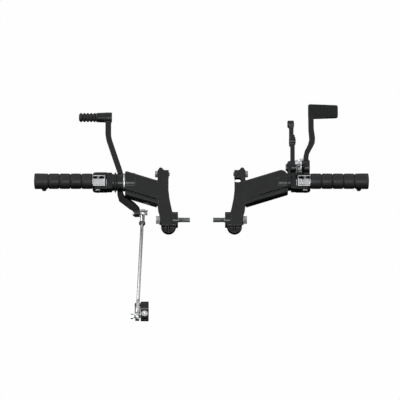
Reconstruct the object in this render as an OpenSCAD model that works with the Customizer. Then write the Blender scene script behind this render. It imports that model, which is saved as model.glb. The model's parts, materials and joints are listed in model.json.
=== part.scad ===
/* [Set] */
// Distance between the two frame faces in the set
set_gap = 94; // [60:1:200]
// How far the front end of each bracket is tipped up
tilt = 20; // [16:0.5:24]

/* [Bracket] */
// Thickness of the casting
cast_h = 24; // [20:0.5:28]
// Width of the spine at its top
spine_w = 22; // [20:0.5:24]
// Distance along the spine from the main bolt to the upper bolt
upper_s = 93; // [90:0.5:96]
// Distance along the spine from the main bolt to the foot peg shank
peg_s = 77; // [75:0.5:79]
// Width of the arm, front edge to rear edge
arm_w = 51; // [48:0.5:54]
// Slope of the arm against the bolt axis
arm_slope = 17; // [15:0.5:19]
// Thickness of the arm's top wall
arm_wall = 5; // [3:0.25:5.5]
// Depth of the foot peg shank's axis below the casting's middle
peg_drop = 5; // [4.5:0.25:6]
// Radius of the round pad at the lower end
pad_r = 15; // [13:0.5:17]
// Radius of the boss that meets the frame
boss_r = 16; // [13:0.5:18]
// Length of the boss that meets the frame
boss_len = 12; // [8:0.5:14]

/* [Bolts] */
// Radius of the main bolt
main_r = 5; // [4:0.1:6]
// Length of the main bolt that stands out of the frame face
main_out = 24; // [16:1:30]
// Radius of the upper bolt
upper_r = 4; // [3:0.1:5]
// Clearance of a bolt in its hole
bolt_gap = 0.3; // [0.2:0.05:0.5]

/* [Foot peg] */
// Radius of the shank that carries the foot peg
shank_r = 8; // [7:0.1:9]
// Width of the foot peg's tang
tang_w = 24.4; // [20:0.2:27]
// Thickness of each ear of the clevis
ear_t = 6.5; // [5:0.25:8]
// Half the height of the clevis
clevis_h = 9; // [8:0.25:10]
// Radius of the hinge pin
pin_r = 4.5; // [3.5:0.1:5]
// Radius of the peg's rubber
rubber_r = 15.5; // [14:0.25:17]
// Length of the peg's rubber
rubber_len = 117; // [100:1:130]
// Number of grooves round the rubber
rubber_grooves = 4; // [2:1:6]
// Height of the peg's axis above the shank's axis
peg_rise = 5; // [3:0.25:5.5]
// Length of the wear nub below the rubber
nub_len = 16; // [8:1:20]

/* [Shift lever] */
// Distance from the pivot to the toe peg
toe_reach = 135; // [120:1:150]
// Rise of the front arm above level
toe_angle = 15; // [10:1:20]
// Distance from the pivot to the rod's pin
rear_reach = 69; // [62:1:74]
// Fall of the rear arm below level
rear_angle = 58; // [55:1:62]
// Width of the lever's hub along its pivot
hub_len = 12; // [10:0.5:14]
// Radius of the lever's hub
hub_r = 18; // [16:0.5:19]
// Length of the toe rubber
toe_rubber_len = 36; // [28:1:44]
// Radius of the toe rubber's ribs
toe_rubber_r = 9.5; // [8:0.25:11]
// Number of ribs round the toe rubber
toe_ribs = 5; // [3:1:7]

/* [Shift rod] */
// Distance between the rod's two joints
rod_len = 238; // [200:1:280]
// Radius of the rod
rod_r = 3.2; // [2.5:0.1:4]
// Height from the rod's rear stud up to the gearbox shaft
arm_drop = 32; // [28:0.5:38]
// Radius of the gearbox shaft
shaft_r = 7; // [6:0.1:8]

/* [Brake pedal] */
// Distance from the pedal's pivot to the middle of its pad
pad_reach = 118; // [105:1:130]
// Rise of the pedal's arm above level
pedal_angle = 12; // [8:1:16]
// Length of the pad across the motorcycle
pad_len = 60; // [48:1:70]
// Width of the pad along the arm
pad_w = 30; // [26:1:34]
// Thickness of the pad
pad_t = 8; // [6:0.5:10]
// Radius of the pedal's pivot bolt
pivot_r = 5; // [4.5:0.1:6]

/* [Hidden] */
$fn = 48;
black = "#2e3133";
steel = "#c9cccf";
zinc = "#a9adb0";
rubber = "#303133";

// Clearances shared by the pieces that turn or slide
run_gap = 0.06;
side_gap = 0.2;
seat_gap = 0.1;

// The spine's left edge, the arm's end and the stack of pieces on the shank, all along X
spine_x = -41;
arm_end_x = -106;
washer_t = 3.6;
hub_in_x = arm_end_x - washer_t - side_gap;
hub_out_x = hub_in_x - hub_len;
spacer_t = 2;
seal_t = 3;
seal_r = 20;
flange_x = hub_out_x - spacer_t - seal_t - 2 * side_gap;
shoulder_x = -132;
ear_x = -143;
pin_x = -160.5;
ear_r = 10.5;
tang_r = 17;
rubber_x = pin_x - ear_r - 0.3;
shank_boss_len = 20;
shank_boss_r = 19;
nut_t = 9;
nut_r = 11.5;
thread_r = 6;
bush_wall = 2.5;

// The shank's axis, seen along X
peg_y = peg_s * cos(tilt) + peg_drop * sin(tilt);
peg_z = peg_s * sin(tilt) - peg_drop * cos(tilt);

// The arm's front edge starts here at the spine
front_x = -42;
front_s = 80;
groove_w = 2;
groove_d = 4;

// The lever's joints
hub_mid_x = (hub_in_x + hub_out_x) / 2;
toe_x = -140;
rib_end_x = toe_x - 24;
toe_base_r = 10.3;
toe_y = peg_y + toe_reach * cos(toe_angle);
toe_z = peg_z + toe_reach * sin(toe_angle);
rod_y = peg_y - rear_reach * cos(rear_angle);
rod_z = peg_z - rear_reach * sin(rear_angle);
clear_d = seal_r + 6.5;
rear_turn_d = 34;
lever_end_x = -88;
lever_end_w = 11.5;
rod_front_x = -71;
rod_rear_x = -81;
rod_pin_r = 4;
rod_w = 9;
ball_r = 6;
rod_span = sqrt(pow(rod_len, 2) - pow(rod_rear_x - rod_front_x, 2));
stud_y = rod_y - rod_span;
rod_turn = atan2(rod_rear_x - rod_front_x, rod_span);
gear_x = -74;
gear_w = 16;
clamp_r = 14;

// The brake pedal's joints, in the right half's own mirrored frame
pivot_y = 109.5;
pivot_z = 20.4;
lug_x = -126;
plate_t = 5.8;
pivot_boss_x = -142.4;
pedal_in_x = -154;
pedal_hub_x = -157;
pedal_out_x = -170;
pedal_hub_r = 14.5;
hub_sink = 3.4;
clevis_y = 96;
clevis_z = 61.7;
clevis_mid_x = -148;
clevis_w = 10;

// The bar that carries the master cylinder: its left face, its thickness and its two ears
bar_x0 = -140;
bar_w = 9;
ear_d = [54, 88];
ear_in_x = [-141.4, -138.2];
ear_w = 12;

// A bar along X from x0, len long
module bar_x(x0, len, r, n = 0) {
    translate([x0, 0, 0]) rotate([0, 90, 0]) cylinder(r = r, h = len, $fn = n > 0 ? n : $fn);
}

// A ring along X from x0
module ring_x(x0, len, r_out, r_in) {
    difference() {
        bar_x(x0, len, r_out);
        bar_x(x0 - 1, len + 2, r_in);
    }
}

// Puts its children on the shank's axis
module at_peg() translate([0, peg_y, peg_z]) children();

// Turns the bracket's own plane into place
module in_plane() rotate([tilt, 0, 0]) children();

// The right half mirrors the left across the middle of the set
module mirrored() translate([set_gap, 0, 0]) mirror([1, 0, 0]) children();

// Outline of the spine in its own plane
module spine_outline() {
    right = spine_x + spine_w;
    polygon([[spine_x, 30], [-39.5, 18], [-34, 2], [-34, -13], [-4, -13], [-11, 14], [-14, 27],
        [-17, 42], [right, 60], [right, upper_s - 6], [-24, upper_s + 5], [-30, upper_s + 8],
        [-39, upper_s + 8], [spine_x, upper_s + 6]]);
    translate([-19, -13]) circle(r = pad_r);
    translate([-34.5, upper_s + 7.5]) circle(r = 4.5);
}

// Profile of the arm, from its front edge back, with the rear ridge
module arm_profile() {
    top = cast_h / 2;
    low = -cast_h / 2;
    edge_r = 8;
    front = [for (a = [270:-15:90]) [edge_r + edge_r * cos(a), top - edge_r + edge_r * sin(a)]];
    polygon(concat([[6, low], [1, low + 2]], [for (p = front) if (p[1] >= top - edge_r) p],
        [[arm_w - 12, top], [arm_w - 10.5, top + 0.8], [arm_w - 6, top + 0.8], [arm_w - 3, top - 0.6],
        [arm_w - 0.8, top - 4], [arm_w, top - 8], [arm_w, low], [arm_w - 6, low],
        [arm_w - 6, top - arm_wall], [7, top - arm_wall], [7, low]]));
}

// Lays a profile along the arm's slope, from the spine to its outer end
module along_arm(end_x) {
    run = (front_x + 14 - end_x) / cos(arm_slope) + 20;
    c = cos(arm_slope);
    s = sin(arm_slope);
    intersection() {
        multmatrix([[-s, 0, -c, front_x + 14], [-c, 0, s, front_s - 14 * tan(arm_slope)],
            [0, 1, 0, 0], [0, 0, 0, 1]]) linear_extrude(height = run) children();
        translate([end_x, -20, -40]) cube([-25 - end_x, 160, 80]);
    }
}

// Groove with round ends in front of the rear ridge, between two places along X
module groove(x0, x1) {
    middle = arm_w - 13;
    translate([front_x, front_s, cast_h / 2 - groove_d]) rotate([0, 0, -arm_slope])
        translate([0, -middle, 0]) {
            near = (x1 - front_x) / cos(arm_slope);
            far = (x0 - front_x) / cos(arm_slope);
            translate([far, -groove_w / 2, 0]) cube([near - far, groove_w, 10]);
            for (x = [far, near]) translate([x, 0, 0]) cylinder(r = groove_w / 2, h = 10, $fn = 24);
        }
}

// What is cut off to round the arm's outer front corner
module arm_corner(end_x, r) {
    s = front_s - (end_x + r - front_x) * tan(arm_slope) - r;
    translate([0, 0, -40]) linear_extrude(height = 80) polygon(concat([[end_x - 1, s + 60], [end_x - 1, s]],
        [for (a = [180:-10:90]) [end_x + r + r * cos(a), s + r * sin(a)]], [[end_x + r, s + 60]]));
}

// Casting of one bracket, with its arm ending at end_x and its groove running from x0 to x1
module bracket(end_x, corner_r, x0, x1) {
    difference() {
        union() {
            in_plane() {
                translate([0, 0, -cast_h / 2]) linear_extrude(height = cast_h) spine_outline();
                difference() {
                    along_arm(end_x) arm_profile();
                    arm_corner(end_x, corner_r);
                }
                translate([0, upper_s, 0]) bar_x(spine_x, 22.5, 8.5);
                for (rib_x = [-52, -65]) {
                    translate([rib_x, front_s - arm_w + 7 + (front_x - rib_x) * tan(arm_slope), -cast_h / 2 + 3])
                        cube([4, arm_w - 12, cast_h - 5]);
                }
            }
            bar_x(-36, 36, 10.5);
            bar_x(-boss_len, boss_len, boss_r);
            at_peg() bar_x(end_x, shank_boss_len, shank_boss_r);
        }
        bar_x(-60, 80, main_r + bolt_gap);
        bar_x(-60, 24, 10.8);
        at_peg() {
            bar_x(end_x - 1, 30, shank_r + seat_gap);
            intersection() {
                bar_x(end_x + shank_boss_len, 14.5, nut_r + 0.7);
                translate([-200, -30, -30]) cube([200, 60, 30 + nut_r + 0.2]);
            }
        }
        in_plane() {
            groove(x0, x1);
            translate([0, upper_s, 0]) bar_x(-60, 60, upper_r + bolt_gap);
            for (side = [0, 1]) {
                translate([0, 0, cast_h / 2 - 14]) linear_extrude(height = 20) intersection() {
                    translate([-19, -13]) circle(r = pad_r - 2.5);
                    translate([side == 0 ? -34 : -17.5, -30]) square([13.5, 17]);
                }
            }
        }
    }
}

// Bolt along X: its head's outer face at x0, its tip at x1
module bolt(x0, x1, r, head_r, head_len) {
    difference() {
        union() {
            bar_x(x0, head_len, head_r, 6);
            bar_x(x0 + head_len, x1 - x0 - head_len - 1, r);
            translate([x1 - 1, 0, 0]) rotate([0, 90, 0]) cylinder(r1 = r, r2 = r - 0.8, h = 1);
        }
        bar_x(x0 - 1, head_len - 1.5, head_r * 0.5, 6);
    }
}

// The main bolt is thinner where it passes through the casting
module main_bolt() color(zinc) difference() {
    bolt(-44, main_out, main_r, 9.2, 6.6);
    ring_x(-37.4, 37.4, main_r + 1, main_r - 0.4);
}

module main_washer() color(zinc) ring_x(-37.3, 1.2, 10.2, main_r + bolt_gap);

module upper_bolt() color(zinc) in_plane() translate([0, upper_s, 0])
    bolt(spine_x - 5.1, -16.6, upper_r, 7.5, 5);

// Foot peg mount: the clevis with its shank, as one forging
module peg_mount(spacer_x, end_x) {
    ear_y = tang_w / 2 + side_gap;
    color(black) at_peg() difference() {
        union() {
            intersection() {
                bar_x(ear_x, shoulder_x - ear_x, seal_r);
                translate([ear_x, -ear_y - ear_t, -clevis_h])
                    cube([30, 2 * (ear_y + ear_t), 2 * clevis_h + 0.4]);
            }
            bar_x(shoulder_x - 0.5, spacer_x - shoulder_x + 0.5, 17);
            for (side = [-1, 1]) {
                translate([0, side * (ear_y + ear_t / 2), 0]) {
                    translate([pin_x, -ear_t / 2, -clevis_h]) cube([ear_x - pin_x + 1, ear_t, 2 * clevis_h]);
                    intersection() {
                        translate([pin_x, ear_t / 2, 0]) rotate([90, 0, 0]) cylinder(r = ear_r, h = ear_t);
                        translate([pin_x - 20, -ear_t, -clevis_h]) cube([21, 2 * ear_t, 2 * clevis_h]);
                    }
                }
            }
            bar_x(spacer_x - 1, end_x + shank_boss_len - 1 - spacer_x, shank_r);
            bar_x(end_x + shank_boss_len - 3, 2 + nut_t + 4.5, thread_r);
        }
        translate([pin_x, 40, 0]) rotate([90, 0, 0]) cylinder(r = pin_r + 0.02, h = 80);
    }
}

module shank_washer(end_x) color(zinc) at_peg() ring_x(end_x + shank_boss_len, 2, nut_r, thread_r + seat_gap);

module shank_nut(end_x) color(zinc) at_peg() difference() {
    bar_x(end_x + shank_boss_len + 2, nut_t, nut_r, 6);
    bar_x(end_x, 60, thread_r + 0.02);
}

// Hinge pin along Y, with a domed head at the rear and a groove for its clip
module peg_pin() {
    half = tang_w / 2 + side_gap + ear_t;
    color(steel) at_peg() translate([pin_x, 0, 0]) rotate([-90, 0, 0]) difference() {
        union() {
            translate([0, 0, -half - 2.2]) cylinder(r1 = pin_r + 0.8, r2 = pin_r + 2, h = 0.9);
            translate([0, 0, -half - 1.3]) cylinder(r = pin_r + 2, h = 1.2);
            translate([0, 0, -half - 0.2]) cylinder(r = pin_r, h = 2 * half + 1.9);
        }
        translate([0, 0, half + 0.3]) difference() {
            cylinder(r = pin_r + 1, h = 0.9);
            translate([0, 0, -1]) cylinder(r = pin_r - 0.8, h = 4);
        }
    }
}

module peg_pin_clip() {
    half = tang_w / 2 + side_gap + ear_t;
    color(steel) at_peg() translate([pin_x, half + 0.35, 0]) rotate([-90, 0, 0]) difference() {
        cylinder(r = pin_r + 2.4, h = 0.8);
        translate([0, 0, -1]) cylinder(r = pin_r - 0.75, h = 3);
        translate([-2, -12, -1]) cube([4, 12, 3]);
    }
}

// Tang and core of the foot peg, one piece of bright metal
module peg_core() color(steel) at_peg() difference() {
    union() {
        intersection() {
            translate([pin_x, tang_w / 2, 0]) rotate([90, 0, 0]) cylinder(r = tang_r, h = tang_w);
            translate([pin_x, -tang_w / 2, -clevis_h]) cube([20, tang_w, 2 * clevis_h]);
        }
        translate([rubber_x, -tang_w / 2, -clevis_h]) cube([pin_x - rubber_x + 0.5, tang_w, 2 * clevis_h]);
        translate([0, 0, peg_rise]) bar_x(rubber_x - rubber_len + 6, rubber_len - 5, 7.5);
    }
    translate([pin_x, 40, 0]) rotate([90, 0, 0]) cylinder(r = pin_r + run_gap, h = 80);
    translate([pin_x - 8, -tang_w / 2 + 2.5, clevis_h - 1.2]) cube([20, tang_w - 5, 3]);
    translate([pin_x - 8, tang_w / 2 - 7.5, clevis_h - 3]) cube([20, 4, 5]);
}

// Rubber of the foot peg: a turned form with grooves and a rounded outer end
module peg_rubber() {
    outer = -rubber_len;
    pitch = (rubber_len - 29) / rubber_grooves;
    color(rubber) at_peg() translate([rubber_x, 0, peg_rise]) difference() {
        rotate([0, 90, 0]) rotate_extrude() {
            difference() {
                union() {
                    translate([0, outer + 3]) square([rubber_r, rubber_len - 3]);
                    translate([0, outer + 4]) square([rubber_r + 0.4, 24]);
                    translate([0, outer]) square([rubber_r - 3, 6]);
                    translate([rubber_r - 3, outer + 3]) circle(r = 3);
                }
                for (i = [0:rubber_grooves - 1]) {
                    translate([rubber_r + 0.6, outer + 29 + i * pitch]) circle(r = 1.9, $fn = 24);
                }
                translate([-1, outer + 5.8]) square([8.55, rubber_len]);
            }
        }
        translate([outer + 20, 0, -30]) cylinder(r = 5.1, h = 25);
    }
}

module wear_nub() color(zinc) at_peg() translate([rubber_x - rubber_len + 20, 0, peg_rise]) {
    translate([0, 0, -rubber_r - nub_len]) cylinder(r = 5, h = nub_len + rubber_r - 7.6);
}

// Direction of a centre line at its point i
function heading(pts, i) =
    let (a = pts[max(i - 1, 0)], b = pts[min(i + 1, len(pts) - 1)], d = b - a) d / norm(d);

// Outline round a centre line, half as wide as rs says at each point, with round ends
function strap_outline(pts, rs, steps = 8) =
    let (n = len(pts), h = [for (i = [0:n - 1]) heading(pts, i)], side = [for (v = h) [-v[1], v[0]]],
        cap_end = [for (k = [0:steps]) let (a = 90 - k * 180 / steps)
            pts[n - 1] + rs[n - 1] * (cos(a) * h[n - 1] + sin(a) * side[n - 1])],
        cap_start = [for (k = [0:steps]) let (a = -90 - k * 180 / steps)
            pts[0] + rs[0] * (cos(a) * h[0] + sin(a) * side[0])])
    concat([for (i = [1:1:n - 2]) pts[i] + rs[i] * side[i]], cap_end,
        [for (i = [n - 2:-1:1]) pts[i] - rs[i] * side[i]], cap_start);

// Flat arm of thickness t that leaves the X axis at angle a, its centre line given as [x, distance]
module flat_arm(a, t, pts, rs) rotate([a, 0, 0]) linear_extrude(height = t, center = true)
    polygon(strap_outline(pts, rs));

// Plate across the X axis from x0, its centre line given as [y, z]
module side_plate(x0, t, pts, rs) translate([x0, 0, 0]) rotate([90, 0, 90]) linear_extrude(height = t)
    polygon(strap_outline(pts, rs));

module shift_lever() color(black) at_peg() difference() {
    union() {
        bar_x(hub_out_x, hub_len, hub_r);
        flat_arm(toe_angle, 9, [[hub_mid_x, 4], [hub_mid_x, clear_d - 6], [hub_mid_x - 2, clear_d],
            [toe_x + 2.4, 0.64 * toe_reach], [toe_x + 0.6, 0.7 * toe_reach], [toe_x, 0.76 * toe_reach],
            [toe_x, toe_reach - 4]], [5.4, 5.4, 5.4, 5.4, 5.5, 5.8, 5.8]);
        flat_arm(180 + rear_angle, 10, [[hub_mid_x, 4], [hub_mid_x, rear_turn_d - 8],
            [hub_mid_x + 3, rear_turn_d + 2], [lever_end_x - 4, rear_reach - 16],
            [lever_end_x + 5, rear_reach - 8]], [5.9, 5.9, 7, 7.5, 5.8]);
        translate([0, rod_y - peg_y, rod_z - peg_z]) bar_x(lever_end_x, lever_end_w, 8.5);
        translate([0, toe_y - peg_y, toe_z - peg_z]) bar_x(toe_x - 6, 13.4, toe_base_r);
    }
    bar_x(hub_out_x - 1, hub_len + 2, shank_r + bush_wall);
    translate([0, rod_y - peg_y, rod_z - peg_z]) {
        bar_x(lever_end_x - 1, lever_end_w + 2, rod_pin_r + 0.02);
        bar_x(lever_end_x - 14, 14, 7.2);
    }
    translate([0, toe_y - peg_y, toe_z - peg_z]) bar_x(toe_x - 7, 16, 5.02);
}

module shift_lever_bush() color("#8a7a4c") at_peg()
    ring_x(hub_out_x + 0.1, hub_len - 0.2, shank_r + bush_wall, shank_r + run_gap);

module thrust_washer() color(steel) at_peg() ring_x(arm_end_x - washer_t, washer_t - 0.02, hub_r, shank_r + seat_gap);

module outer_spacer() color(black) at_peg()
    ring_x(hub_out_x - side_gap - spacer_t, spacer_t, 17, shank_r + seat_gap);

module dust_seal() color(rubber) at_peg()
    ring_x(hub_out_x - side_gap - spacer_t - seal_t, seal_t, seal_r, shank_r + seat_gap);

// Toe peg: a bright-edged sleeve with a spigot through the lever and a core for its rubber
module toe_peg_core() color(black) translate([0, toe_y, toe_z]) {
    translate([rib_end_x, 0, 0]) rotate([0, 90, 0])
        cylinder(r1 = toe_base_r - 1, r2 = toe_base_r - 0.2, h = toe_x - 6.1 - rib_end_x);
    bar_x(rib_end_x + 4 - toe_rubber_len, toe_rubber_len, 4.5);
    bar_x(toe_x - 7, 14, 5);
}

module toe_peg_rubber() {
    pitch = toe_rubber_len / toe_ribs;
    color(rubber) translate([rib_end_x, toe_y, toe_z]) rotate([0, 90, 0]) rotate_extrude() difference() {
        union() {
            translate([0, -toe_rubber_len + 1]) square([toe_rubber_r - 2.6, toe_rubber_len - 1]);
            for (i = [0:toe_ribs - 1]) {
                translate([0, -toe_rubber_len + 1 + (i + 0.14) * pitch]) square([toe_rubber_r - 1, pitch * 0.5]);
                translate([toe_rubber_r - pitch * 0.25, -toe_rubber_len + 1 + (i + 0.39) * pitch])
                    circle(r = pitch * 0.25, $fn = 24);
            }
        }
        translate([-1, -toe_rubber_len + 4]) square([5.55, toe_rubber_len]);
    }
}

// Pin through the lever's end and the rod's front end, with its head on the lever's outer side
module shift_rod_pin() color(steel) translate([0, rod_y, rod_z]) difference() {
    union() {
        bar_x(lever_end_x - 3, 3, 6.5);
        bar_x(lever_end_x - 0.5, 27, rod_pin_r);
    }
    translate([lever_end_x + 24, 0, -10]) cylinder(r = 1.2, h = 20);
}

// Split pin through the end of the rod's pin
module split_pin() color(steel) translate([lever_end_x + 24, rod_y, rod_z]) {
    translate([0, 0, -9]) cylinder(r = 1.1, h = 15, $fn = 24);
    translate([0, 0, 8.4]) rotate([0, 90, 0]) rotate_extrude() translate([2.6, 0]) circle(r = 1, $fn = 16);
}

// Puts its children at the rod's front joint, with -Y along the rod
module on_rod() translate([rod_front_x, rod_y, rod_z]) rotate([0, 0, rod_turn]) children();

module rod_bar(y0, len, r, n = 0) {
    translate([0, y0, 0]) rotate([90, 0, 0]) cylinder(r = r, h = len, $fn = n > 0 ? n : $fn);
}

module front_rod_end() color(steel) difference() {
    union() {
        translate([0, rod_y, rod_z]) bar_x(rod_front_x - rod_w / 2, rod_w, 7.5);
        on_rod() rod_bar(-4, 17, 4.6);
    }
    translate([0, rod_y, rod_z]) bar_x(rod_front_x - 10, 20, rod_pin_r + run_gap);
    on_rod() rod_bar(-12, 20, rod_r + 0.02);
}

module front_lock_nut() color(steel) on_rod() difference() {
    rod_bar(-21.1, 6, 6.5, 6);
    rod_bar(-20, 10, rod_r + 0.02);
}

module shift_rod() color(steel) on_rod() rod_bar(-12.2, rod_len - 24.4, rod_r);

module rear_lock_nut() color(steel) on_rod() difference() {
    rod_bar(-rod_len + 29.1, 6, 6.5, 6);
    rod_bar(-rod_len + 32, 10, rod_r + 0.02);
}

module rear_rod_end() color(steel) difference() {
    union() {
        translate([rod_rear_x, stud_y, rod_z]) rotate([0, 90, 0]) rotate_extrude() difference() {
            translate([4.6, -4]) square([4.4, 8]);
            circle(r = ball_r + run_gap);
        }
        on_rod() rod_bar(-rod_len + 23, 15.5, 5.6);
    }
    on_rod() rod_bar(-rod_len + 40, 28.5, rod_r + 0.02);
}

// Ball stud that joins the rod to the gearbox lever
module ball_stud() color(steel) translate([0, stud_y, rod_z]) {
    translate([rod_rear_x, 0, 0]) sphere(r = ball_r);
    bar_x(rod_rear_x - 9, 9, 3);
    bar_x(rod_rear_x - 13, 5, 5.4, 6);
    bar_x(rod_rear_x, gear_x - rod_rear_x + 12, 3);
}

module stud_nut() color(steel) translate([0, stud_y, rod_z]) difference() {
    bar_x(gear_x + 8.1, 4, 5.6, 6);
    bar_x(gear_x, 20, 3.02);
}

// Lever on the gearbox shaft, split at the rear and pinched by a bolt
module gearbox_lever() color(black) translate([0, stud_y, rod_z]) difference() {
    union() {
        translate([0, 0, arm_drop]) bar_x(gear_x, gear_w, clamp_r);
        bar_x(gear_x, 8, 8);
        side_plate(gear_x, 8, [[0, 0], [0, arm_drop]], [7.4, 11]);
        translate([gear_x, -clamp_r - 11, arm_drop - 8]) cube([gear_w, 17, 16]);
    }
    translate([0, 0, arm_drop]) bar_x(gear_x - 1, gear_w + 2, shaft_r);
    translate([gear_x - 1, -clamp_r - 12, arm_drop - 1.2]) cube([gear_w + 2, clamp_r + 8, 2.4]);
    bar_x(gear_x - 1, 10, 3.02);
    translate([gear_x + gear_w / 2, -clamp_r - 4.2, -4]) cylinder(r = 3.3, h = 60);
}

module pinch_bolt() color(steel) translate([gear_x + gear_w / 2, stud_y - clamp_r - 4.2, rod_z + arm_drop])
    difference() {
        union() {
            translate([0, 0, 8]) cylinder(r = 6.5, h = 6);
            translate([0, 0, -12]) cylinder(r = 3.1, h = 20.5);
        }
        translate([0, 0, 10.5]) cylinder(r = 3, h = 5, $fn = 6);
    }

// Master cylinder bracket: a forged bar from the pedal's pivot forward, clamped under the peg mount
module cylinder_bracket() {
    color(black) difference() {
        union() {
            translate([0, pivot_y, pivot_z]) bar_x(pivot_boss_x, lug_x - pivot_boss_x, 13);
            at_peg() bar_x(lug_x - plate_t, plate_t, 17);
            side_plate(lug_x - plate_t, plate_t, [[pivot_y, pivot_z], [peg_y, peg_z]], [12, 14]);
            translate([0, pivot_y, pivot_z]) rotate([tilt, 0, 0]) {
                side_plate(bar_x0, bar_w, [[0, 0], [18, 0], [44, 0], [ear_d[0] + 6, 0]], [11, 7.5, 5.5, 6.6]);
                side_plate(bar_x0 + 2.4, bar_w, [[ear_d[0] - 6, 0], [66, 0], [80, 0], [ear_d[1], 0]],
                    [5.4, 5.4, 6, 7]);
                for (i = [0, 1]) translate([0, ear_d[i], 0]) bar_x(ear_in_x[i], ear_w, 7.7);
            }
        }
        translate([0, pivot_y, pivot_z]) bar_x(-160, 50, pivot_r + 0.1);
        at_peg() bar_x(-160, 50, shank_r + seat_gap);
        translate([0, pivot_y, pivot_z]) rotate([tilt, 0, 0]) for (i = [0, 1]) translate([0, ear_d[i], 0]) {
            bar_x(-160, 50, 4.1);
            bar_x(ear_in_x[i] + ear_w - 2, 4, 6.3);
        }
    }
}

module cylinder_bolts() color(black) translate([0, pivot_y, pivot_z]) rotate([tilt, 0, 0])
    for (i = [0, 1]) translate([ear_in_x[i], ear_d[i], 0]) difference() {
        union() {
            bar_x(ear_w - 1.98, 3, 6.1);
            bar_x(-0.6, ear_w, 4);
        }
        bar_x(ear_w - 0.6, 2, 2.6, 6);
    }

// Outline of the pad, with round corners and a little narrower at its outer end
function pad_outline() =
    let (r = 4, narrow = 2, corner = [[r, r + narrow, 180], [pad_len - r, r, 270],
        [pad_len - r, pad_w - r, 0], [r, pad_w - r - narrow, 90]])
    [for (c = corner, k = [0:4]) [c[0] + r * cos(c[2] + k * 22.5), c[1] + r * sin(c[2] + k * 22.5)]];

// Brake pedal, one forging: hub, arm, pad and the arm that works the push rod
module brake_pedal() color(black) difference() {
    union() {
        translate([0, pivot_y, pivot_z]) {
            bar_x(pedal_out_x, pedal_hub_x - pedal_out_x, pedal_hub_r);
            flat_arm(pedal_angle, 9, [[-162.5, 4], [-162.5, 22], [-164.5, 32], [-171, 45], [-174.5, 54],
                [-175, 62], [-173, 80], [-172.6, pad_reach - 6]], [5.3, 5.1, 4.8, 5, 6, 6, 5.5, 5.4]);
            rotate([pedal_angle, 0, 0]) translate([-167 - pad_len, pad_reach - pad_w / 2, -pad_t / 2])
                linear_extrude(height = pad_t) polygon(pad_outline());
        }
        side_plate(pedal_hub_x - 1.5, pedal_in_x - pedal_hub_x + 1.5,
            [[pivot_y, pivot_z], [clevis_y, clevis_z]], [10, 7]);
    }
    translate([0, pivot_y, pivot_z]) {
        bar_x(-180, 30, pivot_r + 2.5);
        bar_x(pedal_out_x - 1, hub_sink + 1, 10.8);
    }
    translate([0, clevis_y, clevis_z]) bar_x(-170, 30, 3.52);
}

module pedal_bush() color("#8a7a4c") translate([0, pivot_y, pivot_z])
    ring_x(pedal_out_x + hub_sink + 0.1, pedal_in_x - pedal_out_x - hub_sink - 0.2, pivot_r + 2.5,
        pivot_r + run_gap);

// Pivot bolt, put in from the inner side, with a flange under its low head and a clip at its far end
module pivot_bolt() color(black) translate([0, pivot_y, pivot_z]) difference() {
    union() {
        bar_x(lug_x + 0.02, 1.6, 10);
        bar_x(lug_x + 1, 3.4, 7, 6);
        bar_x(pedal_out_x, lug_x - pedal_out_x + 1, pivot_r);
        bar_x(pedal_out_x, 1.4, 8.6);
    }
    bar_x(lug_x + 2.6, 4, 3, 6);
}

module pivot_washer() color(steel) translate([0, pivot_y, pivot_z]) {
    ring_x(pedal_out_x + 1.6, 1.6, 10.4, pivot_r + 0.1);
    ring_x(pedal_in_x + 0.2, pivot_boss_x - pedal_in_x - 0.4, 7.4, pivot_r + 0.1);
}

// Brake clevis, hanging from its pin: a fork with a threaded tail
module brake_clevis() color(steel) translate([clevis_mid_x, clevis_y, clevis_z]) difference() {
    union() {
        intersection() {
            translate([-clevis_w / 2, -6, -14]) cube([clevis_w, 12, 20.5]);
            union() {
                bar_x(-clevis_w / 2, clevis_w, 6.5);
                translate([-clevis_w / 2, -6, -14]) cube([clevis_w, 12, 14]);
            }
        }
        translate([0, 0, -18]) cylinder(r = 5, h = 5);
    }
    bar_x(-10, 20, 3.5 + run_gap);
    translate([-2.6, -8, -8]) cube([5.2, 16, 20]);
    translate([0, 0, -20]) cylinder(r = 3.52, h = 14);
}

module clevis_pin() color(steel) translate([0, clevis_y, clevis_z]) difference() {
    union() {
        bar_x(clevis_mid_x + clevis_w / 2 + side_gap, 2.5, 5.5);
        bar_x(pedal_hub_x - 1.5, clevis_mid_x + clevis_w / 2 - pedal_hub_x + 2, 3.5);
    }
    translate([pedal_in_x + 0.5, 0, -1]) cylinder(r = 0.5, h = 10);
}

// Wire clip: a leg down into the pin, between the fork and the pedal's arm, and a loop above
module clevis_pin_clip() color(steel) translate([pedal_in_x + 0.5, clevis_y, clevis_z]) {
    translate([0, 0, 12.2]) rotate([90, 0, 0]) rotate_extrude() translate([4, 0]) circle(r = 0.9, $fn = 16);
    translate([0, 0, -0.9]) cylinder(r = 0.45, h = 9);
}

module clevis_lock_nuts() color(steel) translate([clevis_mid_x, clevis_y, clevis_z]) difference() {
    for (z = [-23.2, -30]) translate([0, 0, z]) rotate([0, 0, 30]) cylinder(r = 6.5, h = 5, $fn = 6);
    translate([0, 0, -40]) cylinder(r = 3.52, h = 30);
}

module push_rod() color(steel) translate([clevis_mid_x, clevis_y, clevis_z - 30.6]) cylinder(r = 3.5, h = 21);

// Holes and slot that only the right casting has
module right_casting() difference() {
    bracket(lug_x, 16, -117, -59);
    in_plane() translate([-25.5, 79.5, -30]) {
        translate([-2.2, 0, 0]) cylinder(r = 4.5, h = 60);
        translate([2.2, 0, 0]) cylinder(r = 4.5, h = 60);
        translate([-2.2, -4.5, 0]) cube([4.4, 9, 60]);
    }
}

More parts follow.
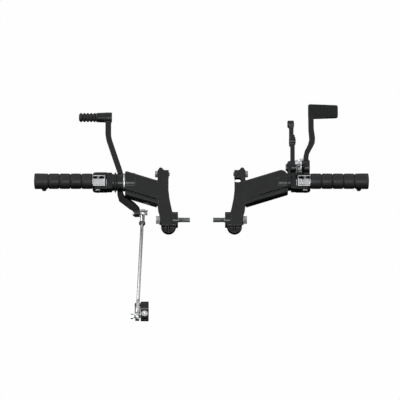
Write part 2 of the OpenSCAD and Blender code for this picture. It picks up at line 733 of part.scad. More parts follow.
color(black) bracket(arm_end_x, 4, arm_end_x - 2, -33);  // left_bracket
main_bolt();  // left_main_bolt
main_washer();  // left_main_washer
upper_bolt();  // left_upper_bolt
peg_mount(flange_x, arm_end_x);  // left_peg_mount
shank_washer(arm_end_x);  // left_shank_washer
shank_nut(arm_end_x);  // left_shank_nut
peg_pin();  // left_peg_pin
peg_pin_clip();  // left_peg_pin_clip
peg_core();  // left_peg_core
peg_rubber();  // left_peg_rubber
wear_nub();  // left_wear_nub
shift_lever();
shift_lever_bush();
thrust_washer();
dust_seal();
outer_spacer();
toe_peg_core();
toe_peg_rubber();
shift_rod_pin();
split_pin();
front_rod_end();
front_lock_nut();
shift_rod();
rear_lock_nut();
rear_rod_end();
ball_stud();
stud_nut();
gearbox_lever();
pinch_bolt();
color(black) mirrored() right_casting();  // right_bracket
mirrored() main_bolt();  // right_main_bolt
mirrored() main_washer();  // right_main_washer
mirrored() upper_bolt();  // right_upper_bolt
mirrored() peg_mount(shoulder_x, lug_x);  // right_peg_mount
mirrored() shank_washer(lug_x);  // right_shank_washer
mirrored() shank_nut(lug_x);  // right_shank_nut
mirrored() peg_pin();  // right_peg_pin
mirrored() peg_pin_clip();  // right_peg_pin_clip
mirrored() peg_core();  // right_peg_core
mirrored() peg_rubber();  // right_peg_rubber
mirrored() wear_nub();  // right_wear_nub
mirrored() brake_pedal();
mirrored() pedal_bush();
mirrored() pivot_bolt();
mirrored() pivot_washer();
mirrored() cylinder_bracket();
mirrored() cylinder_bolts();
mirrored() brake_clevis();
mirrored() clevis_pin();
mirrored() clevis_pin_clip();
mirrored() clevis_lock_nuts();
mirrored() push_rod();
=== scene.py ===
import json
import math

import bmesh
import bpy
from mathutils import Matrix, Vector


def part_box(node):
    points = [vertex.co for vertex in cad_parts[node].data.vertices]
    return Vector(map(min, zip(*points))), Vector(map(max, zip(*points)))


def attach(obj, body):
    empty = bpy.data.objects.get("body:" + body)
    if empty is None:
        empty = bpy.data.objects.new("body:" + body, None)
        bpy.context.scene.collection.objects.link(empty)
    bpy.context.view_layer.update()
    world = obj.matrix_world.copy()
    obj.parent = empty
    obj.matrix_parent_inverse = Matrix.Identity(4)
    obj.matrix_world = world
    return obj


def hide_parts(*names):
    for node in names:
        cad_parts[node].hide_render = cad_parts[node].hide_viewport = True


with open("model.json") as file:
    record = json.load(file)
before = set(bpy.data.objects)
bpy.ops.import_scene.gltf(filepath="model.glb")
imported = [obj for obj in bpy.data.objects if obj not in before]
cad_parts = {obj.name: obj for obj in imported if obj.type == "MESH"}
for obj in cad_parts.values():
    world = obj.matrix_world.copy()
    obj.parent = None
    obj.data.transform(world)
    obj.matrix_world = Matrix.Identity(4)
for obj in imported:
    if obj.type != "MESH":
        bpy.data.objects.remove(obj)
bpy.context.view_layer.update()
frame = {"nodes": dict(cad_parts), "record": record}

MM = 0.001

# Camera: the photograph looks down from behind, almost without perspective
VIEW_ELEVATION = math.radians(60)
VIEW_DISTANCE = 16.0
FRAME_WIDTH = 0.8
VIEW_CENTRE = Vector((0.044, 0.0346, 0.020))
VIEW_END = 60.0
SENSOR_WIDTH = 36.0

# Floor, well below the lowest piece
FLOOR_Z = -0.30
FLOOR_SIZE = 14.0

# Skin of castings and forgings: voxel, passes of smoothing, share of faces kept
CAST_SKIN = (0.62 * MM, 8, 0.5)
FORGED_SKIN = (0.55 * MM, 6, 0.65)

# Nodes shown as CAD made them: the bevel of their edges, and the distance within which their seams are joined
EDGE = 0.35 * MM
SEAM = 0.002 * MM

# Sides of a turned form
AROUND = 48

# The slot along the front of a tang, measured from its pin: ends, walls in the rear and front, half height
SLOT_IN, SLOT_OUT = 13.6 * MM, 9.6 * MM
SLOT_REAR, SLOT_FRONT = 5.8 * MM, 10.3 * MM
SLOT_HALF = 20 * MM
PEG_JOINTS = {"left_peg_core": "left_peg_fold", "right_peg_core": "right_peg_fold"}

# Light: the world's own level on the object, the floor's whiteness and shade
WORLD_LIGHT = 0.08
FLOOR_WHITE = 0.99
FLOOR_SHADE = 0.35

# Lamps: name, place, diameter in metres and power in watts, and the point that they face
LAMPS = [("key", Vector((-1.4, 0.6, 1.9)), 0.8, 16.0), ("fill", Vector((1.5, -0.2, 1.9)), 0.6, 8.0),
         ("glint", Vector((0.05, -1.5, 2.3)), 0.7, 16.0)]
LAMP_AIM = Vector((0.047, 0.05, 0.0))

# A black card under the part and a flag behind each peg, from one X to another: seen in reflections only
CARD_Z = -0.20
CARD_SIZE = 3.0
FLAGS = [(-0.32, -0.14), (0.24, 0.42)]
FLAG_Y = -0.60
FLAG_TOP = 0.45

# The rod: radius, lock nuts and threads, with places measured from the joint at each end
ROD_R = 3.2 * MM
ROD_FRONT = 21.1 * MM
ROD_REAR = 23.1 * MM
ROD_END = 12.4 * MM
THREAD_START = 13 * MM
THREAD_PAST_NUT = 16 * MM
NUT_LONG = 6 * MM
NUT_CORNER = 6.4 * MM
ROD_PITCH = 1.0 * MM

# Threads: depth as a share of the pitch, stations a turn, turns over which they run in and out, the share of
# the depth that is left there, and the gain and shift that flatten crest and root
THREAD_DEPTH = 0.61
THREAD_STEPS = 6
RUN_IN, RUN_OUT = 1.2, 0.8
LEAST_DEPTH = 0.25
FLAT_GAIN, FLAT_SHIFT = 1.25, 0.1

# Chamfer of a hexagon: its steps from flat to corner, and its rise as a share of their difference
CHAMFER_STEPS = (0.0, 0.35, 0.7, 1.0)
CHAMFER_RISE = 0.6

# Foot peg rubbers: radius, height of their axis, length of the outer band, number of grooves
RUBBER_R = 15.5 * MM
RUBBER_Z = 0.026637
OUTER_BAND = 29 * MM
GROOVES = 4

# Their profile in mm, place and depth below the radius: the inner end, and a groove about its own middle
INNER_END = [(0, 6.5), (0, 1.6), (0.4, 0.9), (1.2, 0.25)]
GROOVE = [(-1.40, 0.3), (-0.95, 0.9), (-0.57, 1.7), (0, 2.0), (0.57, 1.7), (0.95, 0.9), (1.40, 0.3)]

# A band: where it begins after the inner end or after a groove's middle, its radius and its bulge
FIRST_BAND = 1.2 * MM
BAND = 2.15 * MM
BAND_R = RUBBER_R - 0.05 * MM
BAND_BULGE = 0.12 * MM

# The outer end: the flare's radius and bulge, its distance from the end, the dome's length and drop, and the
# flat cap's distances from the end with their radii
FLARE_R = RUBBER_R + 0.35 * MM
FLARE_BULGE = 0.05 * MM
FLARE_END = 3.4 * MM
DOME_LONG, DOME_DROP = 2.6 * MM, 3.6 * MM
DOME_STEPS = 8
CAP = [(0.35 * MM, 8 * MM), (0, 1.2 * MM)]

# Toe peg rubber: ribs, stations a rib, radius of bore, root and crest, the crest's narrowness, and the dome's
# length, steps and smallest radius as a share of the root's
TOE_RIBS, RIB_STEPS = 5, 12
TOE_BORE, TOE_ROOT, TOE_CREST = 6 * MM, 6.9 * MM, 9.5 * MM
RIB_POWER = 1.4
TOE_DOME, TOE_DOME_STEPS, TOE_TIP = 1 * MM, 6, 0.12

# Brake pad: its tilt, its middle's distance from the pivot, half its width, its length and its top's height
PAD_TILT = math.radians(12)
PAD_REACH = 118 * MM
PAD_HALF = 15 * MM
PAD_LONG = 60 * MM
PAD_TOP = 4 * MM

# Its studs: rows and columns, size, margins to the pad's sides, and the corners that are left free
STUD_ROWS, STUD_COLUMNS = 9, 11
STUD_FOOT, STUD_TOP, STUD_TALL = 2.0 * MM, 0.8 * MM, 3.4 * MM
MARGIN_X, MARGIN_Y = 3.5 * MM, 3.1 * MM
CORNER_X, CORNER_Y = 4.4 * MM, 3.4 * MM
CUT_CORNER_X, CUT_CORNER_Y = 12 * MM, 4.2 * MM

# Wire of the split pin, in mm: foot of its straight leg, its eye below the top, its bent leg above the foot
WIRE_R = 0.75 * MM
STRAIGHT_LEG = [(-0.5, 0, 0.5)]
EYE = [(-0.5, 0, -6.5), (-1.0, -0.2, -5), (-3.0, -0.4, -2.6), (-1.6, -0.4, -0.9), (0, -0.4, -0.8),
       (1.6, -0.2, -0.9), (3.0, 0, -2.6), (1.0, 0, -5), (0.5, 0, -6.5)]
BENT_LEG = [(0.5, 0, 4.0), (0.9, -0.3, 2.2), (2.2, -0.8, 0.9)]

# Wire of the clevis pin's clip: its loop's radius, middle below the top, points and rise from one to the next
CLIP_LOOP = 4.0 * MM
CLIP_DROP = 4.9 * MM
CLIP_POINTS = 11
CLIP_RISE = 0.08 * MM

# Reflection of coat and rubber, weaker than a plain gloss, and the range of a noise that becomes a blend
DULLED = 0.3
BLEND = (0.3, 0.7)

# Grain of the noises: patches, gloss and orange peel of the coat, then of the rubber and of plated metal
COAT_PATCHES, COAT_GLOSS, COAT_PEEL = 26.0, 90.0, 900.0
RUBBER_PATCHES, RUBBER_PEBBLE = 40.0, 1400.0
PLATED_STAINS, PLATED_MARKS = 60.0, 500.0

# Relief of coat, rubber and plated metal: depth, and the strength with which it shows
PEEL_DEPTH, PEBBLE_DEPTH, MARK_DEPTH = 0.05 * MM, 0.06 * MM, 0.01 * MM
CAST_PEEL, FORGED_PEEL, PEBBLE, MARKS = 0.06, 0.08, 0.18, 0.02

# Materials: dark shade, light shade, roughness from and to
SHADES = {
    "black_casting": ((0.0065, 0.0070, 0.0080, 1), (0.0095, 0.0105, 0.0115, 1), (0.20, 0.30)),
    "black_forging": ((0.0050, 0.0060, 0.0062, 1), (0.0080, 0.0095, 0.0098, 1), (0.20, 0.30)),
    "rubber": ((0.010, 0.010, 0.0105, 1), (0.015, 0.015, 0.0155, 1), (0.34, 0.46)),
    "bright_steel": ((0.44, 0.45, 0.46, 1), (0.52, 0.53, 0.54, 1), (0.26, 0.30)),
    "dull_zinc": ((0.20, 0.21, 0.21, 1), (0.34, 0.35, 0.35, 1), (0.30, 0.46)),
    "bronze": ((0.33, 0.24, 0.10, 1), (0.45, 0.34, 0.16, 1), (0.32, 0.5)),
}

CASTINGS = ["left_bracket", "right_bracket"]
FORGINGS = ["left_peg_mount", "right_peg_mount", "shift_lever", "brake_pedal", "cylinder_bracket",
            "gearbox_lever", "left_peg_core", "right_peg_core"]
SOFTENED = ["toe_peg_core", "left_main_washer", "right_main_washer", "thrust_washer", "outer_spacer",
            "dust_seal", "left_peg_pin", "right_peg_pin", "left_wear_nub", "right_wear_nub", "shift_rod_pin",
            "front_rod_end", "rear_rod_end", "ball_stud", "stud_nut", "pivot_bolt", "pivot_washer",
            "cylinder_bolts", "brake_clevis", "clevis_pin", "clevis_lock_nuts"]


def link(obj):
    """Puts an object into the scene and hands it back."""
    bpy.context.scene.collection.objects.link(obj)
    return obj


def point_at(obj, target):
    """Turns a lamp or camera towards a point."""
    obj.rotation_euler = (target - obj.location).to_track_quat("-Z", "Y").to_euler()


def make_camera():
    """The photograph's view: a distant camera behind and above the part."""
    data = bpy.data.cameras.new("camera")
    data.sensor_width = SENSOR_WIDTH
    data.lens = SENSOR_WIDTH * VIEW_DISTANCE / FRAME_WIDTH
    data.clip_end = VIEW_END
    camera = link(bpy.data.objects.new("camera", data))
    back = Vector((0, -math.cos(VIEW_ELEVATION), math.sin(VIEW_ELEVATION)))
    camera.location = VIEW_CENTRE + back * VIEW_DISTANCE
    point_at(camera, VIEW_CENTRE)
    bpy.context.scene.camera = camera


def adder(tree):
    """A shorthand that adds a node and sets its inputs or settings by name."""
    def add(kind, **settings):
        node = tree.nodes.new(kind)
        for key, value in settings.items():
            if key in node.inputs:
                node.inputs[key].default_value = value
            else:
                setattr(node, key, value)
        return node
    return add


def new_material(name):
    """A material, its tree, its shader and its adder."""
    material = bpy.data.materials.new(name)
    material.use_nodes = True
    tree = material.node_tree
    return material, tree, tree.nodes["Principled BSDF"], adder(tree)


def noise(tree, add, scale, detail=4.0, stretch=(1, 1, 1)):
    """Noise in the object's own space, stretched along an axis if asked."""
    place = add("ShaderNodeTexCoord")
    mapping = add("ShaderNodeMapping", Scale=stretch)
    tree.links.new(place.outputs["Object"], mapping.inputs["Vector"])
    texture = add("ShaderNodeTexNoise", Scale=scale, Detail=detail)
    tree.links.new(mapping.outputs["Vector"], texture.inputs["Vector"])
    return texture


def ramp(tree, add, source, low, high):
    """Turns the middle range of a noise into a blend from one colour to another."""
    node = add("ShaderNodeValToRGB")
    for element, colour, position in zip(node.color_ramp.elements, (low, high), BLEND):
        element.color = colour
        element.position = position
    tree.links.new(source, node.inputs["Fac"])
    return node


def grey(value):
    """A colour without hue."""
    return (value, value, value, 1)


def bump(tree, add, shader, source, strength, distance):
    """Lets a noise raise and lower a material's surface."""
    node = add("ShaderNodeBump", Strength=strength, Distance=distance)
    tree.links.new(source, node.inputs["Height"])
    tree.links.new(node.outputs["Normal"], shader.inputs["Normal"])


def shade(name, tree, add, shader, patches, gloss):
    """Sets a material's colour from one noise and its roughness from another, between its own limits."""
    dark, light, roughness = SHADES[name]
    colour = ramp(tree, add, patches.outputs["Fac"], dark, light)
    tree.links.new(colour.outputs["Color"], shader.inputs["Base Color"])
    rough = ramp(tree, add, gloss.outputs["Fac"], grey(roughness[0]), grey(roughness[1]))
    tree.links.new(rough.outputs["Color"], shader.inputs["Roughness"])


def powder_coat(name, peel):
    """Black coat on cast or forged metal: orange peel, small changes of gloss and shade."""
    material, tree, shader, add = new_material(name)
    shade(name, tree, add, shader, noise(tree, add, COAT_PATCHES), noise(tree, add, COAT_GLOSS, 3.0))
    skin = noise(tree, add, COAT_PEEL, 2.0)
    bump(tree, add, shader, skin.outputs["Fac"], peel, PEEL_DEPTH)
    shader.inputs["Specular IOR Level"].default_value = DULLED
    return material


def rubber(name):
    """Moulded rubber: matt, faintly mottled, with a fine pebble."""
    material, tree, shader, add = new_material(name)
    patches = noise(tree, add, RUBBER_PATCHES)
    shade(name, tree, add, shader, patches, patches)
    pebble = noise(tree, add, RUBBER_PEBBLE, 2.0)
    bump(tree, add, shader, pebble.outputs["Fac"], PEBBLE, PEBBLE_DEPTH)
    shader.inputs["Specular IOR Level"].default_value = DULLED
    return material


def plated(name, stretch=(1, 1, 1)):
    """Plated steel with faint turning marks and stains."""
    material, tree, shader, add = new_material(name)
    marks = noise(tree, add, PLATED_MARKS, 3.0, stretch)
    shade(name, tree, add, shader, noise(tree, add, PLATED_STAINS, 5.0), marks)
    bump(tree, add, shader, marks.outputs["Fac"], MARKS, MARK_DEPTH)
    shader.inputs["Metallic"].default_value = 1.0
    return material


def make_materials():
    """One material for each slot."""
    return {
        "black_casting": powder_coat("black_casting", CAST_PEEL),
        "black_forging": powder_coat("black_forging", FORGED_PEEL),
        "rubber": rubber("rubber"),
        "bright_steel": plated("bright_steel", (1, 0.1, 1)),
        "dull_zinc": plated("dull_zinc"),
        "bronze": plated("bronze"),
    }


BEHAVIOUR = frame["record"]["behaviour"]
SLOTS = {part["node"]: part["material_slot"] for part in frame["record"]["subparts"]}
BODIES = {node: body for body, nodes in BEHAVIOUR["bodies"].items() for node in nodes}
JOINT_PLACES = {joint["name"]: Vector(joint["pos_m"]) for joint in BEHAVIOUR["joints"]}


def box(node):
    """Lowest corner, highest corner and middle of a node."""
    low, high = (Vector(corner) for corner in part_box(node))
    return low, high, (low + high) / 2


def piece(name, mesh, node, stands_for=True, sharp=35):
    """Makes an object of a mesh that goes with a node: its body, its slot and its material.

    Edges whose faces meet at more than the sharp angle, in degrees, stay sharp.
    """
    for polygon in mesh.polygons:
        polygon.use_smooth = True
    mesh.set_sharp_from_angle(angle=math.radians(sharp))
    mesh.materials.clear()
    mesh.materials.append(materials[SLOTS[node]])
    obj = link(bpy.data.objects.new(name, mesh))
    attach(obj, BODIES.get(node, "root"))
    if stands_for:
        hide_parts(node)


def baked(work):
    """The mesh of a working object with its modifiers or its wire's thickness, in its own space."""
    bpy.context.view_layer.update()
    graph = bpy.context.evaluated_depsgraph_get()
    return bpy.data.meshes.new_from_object(work.evaluated_get(graph))


def dress_nodes():
    """Gives every carried-over node its slot's material."""
    for name, obj in frame["nodes"].items():
        obj.data.materials.clear()
        obj.data.materials.append(materials[SLOTS[name]])


def soften(nodes):
    """Breaks the sharp edges of nodes that are shown as CAD made them."""
    for name in nodes:
        obj = frame["nodes"][name]
        weld = obj.modifiers.new("weld", "WELD")
        weld.merge_threshold = SEAM
        bevel = obj.modifiers.new("bevel", "BEVEL")
        bevel.width = EDGE
        bevel.segments = 2
        bevel.limit_method = "ANGLE"
        bevel.angle_limit = math.radians(40)
        bevel.harden_normals = True


def tang_cutter(node):
    """The block that is cut out of a tang's skin: it opens the slot in which the peg's pin shows."""
    pin = JOINT_PLACES[PEG_JOINTS[node]]
    outwards = 1 if box(node)[2].x > pin.x else -1
    middle = pin + Vector((outwards * (SLOT_OUT - SLOT_IN) / 2, (SLOT_REAR + SLOT_FRONT) / 2, 0))
    size = Vector((SLOT_OUT + SLOT_IN, SLOT_FRONT - SLOT_REAR, 2 * SLOT_HALF))
    block = bmesh.new()
    bmesh.ops.create_cube(block, size=1.0, matrix=Matrix.LocRotScale(middle, None, size))
    mesh = bpy.data.meshes.new("cutter")
    block.to_mesh(mesh)
    block.free()
    return link(bpy.data.objects.new("cutter", mesh))


def add_remesh(work, voxel):
    """Adds a fine voxel remesh, which joins all faces into one skin."""
    remesh = work.modifiers.new("remesh", "REMESH")
    remesh.mode = "VOXEL"
    remesh.voxel_size = voxel


def skinned(node, skin):
    """A copy of a casting or forging with the small round edges and the skin that it has."""
    source = frame["nodes"][node]
    work = link(bpy.data.objects.new("work", source.data.copy()))
    work.matrix_world = source.matrix_world.copy()
    voxel, passes, share = skin
    add_remesh(work, voxel)
    helpers = [work]
    if node in PEG_JOINTS:
        cut = work.modifiers.new("cut", "BOOLEAN")
        cut.operation = "DIFFERENCE"
        cut.object = tang_cutter(node)
        helpers.append(cut.object)
        add_remesh(work, voxel)
    smooth = work.modifiers.new("smooth", "SMOOTH")
    smooth.factor = 0.5
    smooth.iterations = passes
    fewer = work.modifiers.new("fewer", "DECIMATE")
    fewer.ratio = share
    mesh = baked(work)
    mesh.transform(work.matrix_world)
    for helper in helpers:
        bpy.data.objects.remove(helper)
    piece(node + "_skin", mesh, node, sharp=75)


def turned(name, stations, start, along, node, around=AROUND, **more):
    """A form round an axis: at each station, its place along the axis and its radius or radii."""
    basis = along.normalized().to_track_quat("Z", "Y").to_matrix()
    rings = []
    vertices = []
    for place, radius in stations:
        ring = []
        for i in range(around):
            angle = 2 * math.pi * i / around
            r = radius(angle) if callable(radius) else radius
            ring.append(len(vertices))
            vertices.append(start + basis @ Vector((r * math.cos(angle), r * math.sin(angle), place)))
        rings.append(ring)
    faces = [tuple(reversed(rings[0])), tuple(rings[-1])]
    for below, above in zip(rings, rings[1:]):
        for i in range(around):
            j = (i + 1) % around
            faces.append((below[i], below[j], above[j], above[i]))
    mesh = bpy.data.meshes.new(name)
    mesh.from_pydata(vertices, [], faces)
    mesh.update()
    piece(name, mesh, node, **more)


def hexagon(corner_r, limit_r=None):
    """Radius of a hexagon at each angle, its corners cut to a limit if given."""
    def radius(angle):
        local = angle % (math.pi / 3) - math.pi / 6
        r = corner_r * math.cos(math.pi / 6) / math.cos(local)
        return min(r, limit_r) if limit_r else r
    return radius


def chamfered(corner_r, at, length, far=True):
    """Stations of a hexagon, its corners chamfered at its near end and, if asked, at its far one."""
    flat = corner_r * math.cos(math.pi / 6)
    rise = (corner_r - flat) * CHAMFER_RISE
    end = at + length

    def cut(step):
        return hexagon(corner_r, flat + (corner_r - flat) * step)
    first = [(at + rise * step, cut(step)) for step in CHAMFER_STEPS]
    last = [(end - rise * step, cut(step)) for step in reversed(CHAMFER_STEPS)]
    return first + (last if far else [(end, cut(1.0))])


def socket(corner_r, rim_r, deep, lip):
    """Stations of a hexagonal socket, from its bottom out to its rim."""
    return [(deep, hexagon(corner_r)), (lip, hexagon(corner_r)), (0, hexagon(rim_r))]


def thread(at, length, crest, pitch):
    """Stations of a thread, which runs in and out at its ends."""
    stations = []
    count = int(length / pitch * THREAD_STEPS)
    for k in range(count + 1):
        place = length * k / count
        fade = max(0.0, min(1.0, place / (RUN_IN * pitch), (length - place) / (RUN_OUT * pitch)))

        def radius(angle, place=place, fade=fade):
            phase = (angle / (2 * math.pi) - place / pitch) % 1.0
            wave = abs(2 * phase - 1)
            cut = min(1.0, max(0.0, FLAT_GAIN * wave - FLAT_SHIFT))
            return crest - THREAD_DEPTH * pitch * cut * (LEAST_DEPTH + (1 - LEAST_DEPTH) * fade)
        stations.append((at + place, radius))
    return stations


def wire(name, points, node):
    """A bent wire through points, with closed ends."""
    data = bpy.data.curves.new(name, "CURVE")
    data.dimensions = "3D"
    spline = data.splines.new("NURBS")
    spline.points.add(len(points) - 1)
    for target, point in zip(spline.points, points):
        target.co = (*point, 1)
    spline.order_u = 3
    spline.use_endpoint_u = True
    spline.resolution_u = 8
    data.bevel_depth = WIRE_R
    data.bevel_resolution = 4
    data.use_fill_caps = True
    work = link(bpy.data.objects.new("work", data))
    mesh = baked(work)
    bpy.data.objects.remove(work)
    piece(name, mesh, node)


def across(node, sign):
    """Start, direction and length of a bolt that lies along X."""
    low, high, middle = box(node)
    start = Vector((low.x if sign > 0 else high.x, middle.y, middle.z))
    return start, Vector((sign, 0, 0)), high.x - low.x


def make_main_bolt(node, sign):
    """Hexagon head with a socket, a neck that is thinner up to the seat, and a thread."""
    start, along, length = across(node, sign)
    head, seat, lead, runout = 6.6 * MM, 44 * MM, 0.8 * MM, 1 * MM
    corner, r, pitch = 9.2 * MM, 5 * MM, 1.5 * MM
    neck, tip = r - 0.4 * MM, r - 0.9 * MM
    stations = socket(corner_r=4.5 * MM, rim_r=4.9 * MM, deep=4.1 * MM, lip=0.3 * MM)
    stations += chamfered(corner, 0, head, far=False)
    stations += [(head, neck), (seat, neck), (seat, r), (seat + lead, r)]
    stations += thread(seat + lead, length - seat - lead - runout, r, pitch) + [(length, tip)]
    turned(node + "_turned", stations, start, along, node)


def make_upper_bolt(node, sign):
    """Hexagon head with a socket, a plain shank and a short thread."""
    start, along, length = across(node, sign)
    head, cut, runout = 5 * MM, 9 * MM, 0.7 * MM
    corner, r, pitch = 7.5 * MM, 4 * MM, 1.25 * MM
    tip = r - 0.7 * MM
    stations = socket(corner_r=3.7 * MM, rim_r=4.0 * MM, deep=3.5 * MM, lip=0.3 * MM)
    stations += chamfered(corner, 0, head, far=False)
    stations += [(head, r), (length - cut, r)]
    stations += thread(length - cut, cut - runout, r, pitch) + [(length, tip)]
    turned(node + "_turned", stations, start, along, node)


def make_pinch_bolt(node):
    """Round head with rounded rims and a socket, a plain shank and a thread, hanging down."""
    low, high, middle = box(node)
    head, head_r, shank, cut = 6 * MM, 6.5 * MM, 14 * MM, 11.4 * MM
    top_rim, rim = 0.5 * MM, 0.4 * MM
    r, pitch = 3.1 * MM, 1.0 * MM
    tip = r - 0.6 * MM
    stations = socket(corner_r=3.0 * MM, rim_r=3.2 * MM, deep=3.5 * MM, lip=0.2 * MM)
    stations += [(0, head_r - top_rim), (top_rim, head_r), (head - rim, head_r), (head, head_r - rim)]
    stations += [(head, r), (shank, r)] + thread(shank, cut, r, pitch) + [(high.z - low.z, tip)]
    turned(node + "_turned", stations, Vector((middle.x, middle.y, high.z)), Vector((0, 0, -1)), node)


def make_bolts():
    """Main and upper bolts of both brackets, and the gearbox lever's pinch bolt."""
    for side, sign in (("left", 1), ("right", -1)):
        make_main_bolt(side + "_main_bolt", sign)
        make_upper_bolt(side + "_upper_bolt", sign)
    make_pinch_bolt("pinch_bolt")


def make_rod():
    """Shift rod with its threads, and lock nuts with chamfered corners, between the rod's two joints."""
    front = JOINT_PLACES["shift_rod_swing"]
    run = JOINT_PLACES["gearbox_lever_swing"] - front
    along = run.normalized()
    length = run.length
    near, far = ROD_FRONT, length - ROD_REAR
    tip = ROD_R - 0.5 * MM
    front_end, rear_start = near + THREAD_PAST_NUT, far - THREAD_PAST_NUT
    gap = 0.5 * MM
    stations = [(ROD_END, tip)] + thread(THREAD_START, front_end - THREAD_START, ROD_R, ROD_PITCH)
    stations += [(front_end + gap, ROD_R), (rear_start - gap, ROD_R)]
    stations += thread(rear_start, length - THREAD_START - rear_start, ROD_R, ROD_PITCH)
    stations += [(length - ROD_END, tip)]
    turned("shift_rod_turned", stations, front, along, "shift_rod")
    for name, place in (("front_lock_nut", near), ("rear_lock_nut", far - NUT_LONG)):
        turned(name + "_turned", chamfered(NUT_CORNER, place, NUT_LONG), front, along, name)


def make_push_rod():
    """Stub of the master cylinder's push rod, threaded from end to end."""
    low, high, middle = box("push_rod")
    length = high.z - low.z
    r, pitch, tip = 3.5 * MM, 1.25 * MM, 2.8 * MM
    start = Vector((middle.x, middle.y, low.z))
    stations = [(0, tip)] + thread(0.6 * MM, length - 0.8 * MM, r, pitch) + [(length, tip)]
    turned("push_rod_turned", stations, start, Vector((0, 0, 1)), "push_rod")


def lathe_arc(start, end, bulge, steps=6):
    """Stations of a shallow arc between two (place, radius) points, bulging outwards."""
    points = []
    for k in range(steps + 1):
        t = k / steps
        place = start[0] + (end[0] - start[0]) * t
        points.append((place, start[1] + (end[1] - start[1]) * t + bulge * math.sin(math.pi * t)))
    return points


def make_peg_rubbers():
    """Peg rubbers: five soft-shouldered bands between narrow grooves, the outer one flared and domed."""
    for side, sign in (("left", -1), ("right", 1)):
        node = side + "_peg_rubber"
        low, high, middle = box(node)
        length = high.x - low.x
        inner_end = Vector((high.x if sign < 0 else low.x, middle.y, RUBBER_Z))
        stations = [(place * MM, RUBBER_R - depth * MM) for place, depth in INNER_END]
        start = FIRST_BAND
        for i in range(1, GROOVES + 1):
            groove = (length - OUTER_BAND) * i / GROOVES
            stations += lathe_arc((start, BAND_R), (groove - BAND, BAND_R), BAND_BULGE)
            stations += [(groove + place * MM, RUBBER_R - depth * MM) for place, depth in GROOVE]
            start = groove + BAND
        flare = length - FLARE_END
        stations += lathe_arc((start, BAND_R), (flare, FLARE_R), FLARE_BULGE, 8)
        for k in range(1, DOME_STEPS + 1):
            angle = math.pi / 2 * k / DOME_STEPS
            place = flare + DOME_LONG * math.sin(angle)
            stations.append((place, FLARE_R - DOME_DROP * (1 - math.cos(angle))))
        stations += [(length - back, radius) for back, radius in CAP]
        turned(node + "_moulded", stations, inner_end, Vector((sign, 0, 0)), node, around=96, sharp=60)


def make_toe_rubber():
    """Toe peg rubber: five rounded ribs and a domed end."""
    low, high, middle = box("toe_peg_rubber")
    pitch = (high.x - low.x - TOE_DOME) / TOE_RIBS
    stations = [(0, TOE_BORE), (0, TOE_ROOT)]
    for k in range(TOE_RIBS * RIB_STEPS):
        turn = (k + 0.5) / RIB_STEPS
        wave = math.sin(math.pi * (turn % 1.0)) ** RIB_POWER
        stations.append((turn * pitch, TOE_ROOT + (TOE_CREST - TOE_ROOT) * wave))
    for k in range(1, TOE_DOME_STEPS + 1):
        angle = math.pi / 2 * k / TOE_DOME_STEPS
        place = TOE_RIBS * pitch + TOE_DOME * math.sin(angle)
        stations.append((place, TOE_ROOT * max(TOE_TIP, math.cos(angle))))
    turned("toe_peg_rubber_moulded", stations, Vector((high.x, middle.y, middle.z)), Vector((-1, 0, 0)),
           "toe_peg_rubber", around=72, sharp=60)


def beside(start, offsets):
    """Points at offsets in mm from a start."""
    return [start + Vector(offset) * MM for offset in offsets]


def make_wires():
    """The split pin, with its eye and one leg bent away, and the clevis pin's clip."""
    low, high, middle = box("split_pin")
    foot, top = Vector((middle.x, middle.y, low.z)), Vector((middle.x, middle.y, high.z))
    points = beside(foot, STRAIGHT_LEG) + beside(top, EYE) + beside(foot, BENT_LEG)
    wire("split_pin_wire", points, "split_pin")
    low, high, middle = box("clevis_pin_clip")
    centre = Vector((middle.x, middle.y, high.z - CLIP_DROP))
    under = centre - Vector((0, 0, CLIP_LOOP))
    points = [Vector((middle.x, middle.y, low.z)), under]
    for k in range(CLIP_POINTS):
        angle = -math.pi / 2 + 2 * math.pi * k / CLIP_POINTS
        loop = Vector((CLIP_LOOP * math.cos(angle), CLIP_RISE * k, CLIP_LOOP * math.sin(angle)))
        points.append(centre + loop)
    points += beside(under, [(-0.8, 0.9, -0.4)])
    wire("clevis_pin_clip_wire", points, "clevis_pin_clip")


def make_pad_studs():
    """Rows of low round studs on the brake pad, staggered."""
    pivot = JOINT_PLACES["brake_pedal_press"]
    tilt = Matrix.Rotation(PAD_TILT, 3, "X")
    right = box("brake_pedal")[1].x
    left = right - PAD_LONG
    near, far = PAD_REACH - PAD_HALF, PAD_REACH + PAD_HALF
    row_pitch = (far - near - 2 * MARGIN_Y) / (STUD_ROWS - 1)
    pitch = (right - left - 2 * MARGIN_X) / (STUD_COLUMNS - 0.5)
    studs = bmesh.new()
    for row in range(STUD_ROWS):
        y = near + MARGIN_Y + row_pitch * row
        for k in range(STUD_COLUMNS):
            x = left + MARGIN_X + (k + 0.5 * (row % 2)) * pitch
            corner = min(x - left, right - x) < CORNER_X and min(y - near, far - y) < CORNER_Y
            if corner or (right - x < CUT_CORNER_X and far - y < CUT_CORNER_Y):
                continue
            place = Vector((x, pivot.y, pivot.z)) + tilt @ Vector((0, y, PAD_TOP))
            bmesh.ops.create_cone(studs, cap_ends=True, segments=12, radius1=STUD_FOOT, radius2=STUD_TOP,
                                  depth=STUD_TALL, matrix=Matrix.Translation(place) @ tilt.to_4x4())
    mesh = bpy.data.meshes.new("pad_studs")
    studs.to_mesh(mesh)
    studs.free()
    piece("pad_studs", mesh, "brake_pedal", stands_for=False, sharp=50)


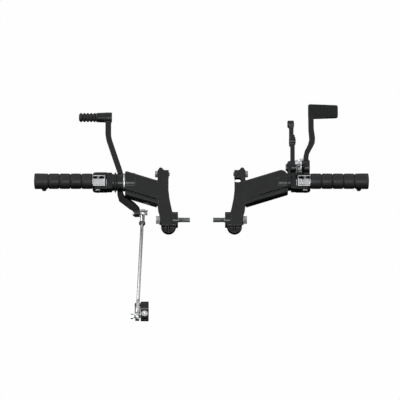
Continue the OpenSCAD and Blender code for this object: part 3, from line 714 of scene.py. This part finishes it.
def white_seen(tree, add, level):
    """How much of plain white shows: all of it to the camera and in reflections."""
    path = add("ShaderNodeLightPath")
    seen = add("ShaderNodeMath", operation="ADD", use_clamp=True)
    more = add("ShaderNodeMath", operation="ADD", use_clamp=True)
    share = add("ShaderNodeMath", operation="MULTIPLY")
    tree.links.new(path.outputs["Is Camera Ray"], seen.inputs[0])
    tree.links.new(path.outputs["Is Glossy Ray"], seen.inputs[1])
    tree.links.new(seen.outputs[0], more.inputs[0])
    tree.links.new(path.outputs["Is Transmission Ray"], more.inputs[1])
    tree.links.new(more.outputs[0], share.inputs[0])
    share.inputs[1].default_value = level
    return share.outputs[0]


def sheet(name, corners):
    """A flat stage piece with its own material: the object, and its material's tree, shader and adder."""
    mesh = bpy.data.meshes.new(name)
    mesh.from_pydata(corners, [], [(0, 1, 2, 3)])
    material, tree, shader, add = new_material(name)
    mesh.materials.append(material)
    return link(bpy.data.objects.new(name, mesh)), tree, shader, add


def level_square(half, z):
    """Corners of a level square round the origin."""
    return [(-half, -half, z), (half, -half, z), (half, half, z), (-half, half, z)]


def make_floor():
    """The white ground: grey to the light that it gets, white to the camera and in reflections."""
    floor, tree, shader, add = sheet("floor", level_square(FLOOR_SIZE / 2, FLOOR_Z))
    shader.inputs["Base Color"].default_value = grey(FLOOR_SHADE)
    shader.inputs["Roughness"].default_value = 0.9
    shader.inputs["Specular IOR Level"].default_value = 0.1
    glow = add("ShaderNodeEmission", Color=(1, 1, 1, 1), Strength=1.0)
    mix = add("ShaderNodeMixShader")
    tree.links.new(white_seen(tree, add, FLOOR_WHITE), mix.inputs["Fac"])
    tree.links.new(shader.outputs["BSDF"], mix.inputs[1])
    tree.links.new(glow.outputs["Emission"], mix.inputs[2])
    tree.links.new(mix.outputs["Shader"], tree.nodes["Material Output"].inputs["Surface"])


def make_cards():
    """Card and flags that a photographer sets around a glossy black part: only reflections see them."""
    cards = [level_square(CARD_SIZE / 2, CARD_Z)]
    for left, right in FLAGS:
        cards.append([(left, FLAG_Y, CARD_Z), (left, FLAG_Y, FLAG_TOP), (right, FLAG_Y, FLAG_TOP),
                      (right, FLAG_Y, CARD_Z)])
    for corners in cards:
        card, _, shader, _ = sheet("card", corners)
        shader.inputs["Base Color"].default_value = grey(0)
        shader.inputs["Roughness"].default_value = 1.0
        shader.inputs["Specular IOR Level"].default_value = 0.0
        card.visible_camera = False
        card.visible_diffuse = False
        card.visible_shadow = False
        card.visible_transmission = False


def make_world():
    """White surroundings that light the part only faintly."""
    world = bpy.data.worlds.new("world")
    bpy.context.scene.world = world
    world.use_nodes = True
    tree = world.node_tree
    tree.nodes.clear()
    add = adder(tree)
    dim = add("ShaderNodeBackground", Color=(1, 1, 1, 1), Strength=WORLD_LIGHT)
    white = add("ShaderNodeBackground", Color=(1, 1, 1, 1), Strength=1.0)
    mix = add("ShaderNodeMixShader")
    tree.links.new(white_seen(tree, add, 1.0), mix.inputs["Fac"])
    tree.links.new(dim.outputs["Background"], mix.inputs[1])
    tree.links.new(white.outputs["Background"], mix.inputs[2])
    out = add("ShaderNodeOutputWorld")
    tree.links.new(mix.outputs["Shader"], out.inputs["Surface"])


def make_lamps():
    """Key from the left, a weaker fill from the right and one near the camera's own side."""
    for name, place, size, power in LAMPS:
        data = bpy.data.lights.new(name, "AREA")
        data.shape = "DISK"
        data.size = size
        data.energy = power
        lamp = link(bpy.data.objects.new(name, data))
        lamp.location = place
        point_at(lamp, LAMP_AIM)


make_camera()
make_world()
make_lamps()
make_floor()
make_cards()
materials = make_materials()
dress_nodes()
for node in CASTINGS:
    skinned(node, CAST_SKIN)
for node in FORGINGS:
    skinned(node, FORGED_SKIN)
make_bolts()
make_rod()
make_push_rod()
make_peg_rubbers()
make_toe_rubber()
make_wires()
make_pad_studs()
soften(SOFTENED)
bpy.context.scene.view_settings.view_transform = "Standard"
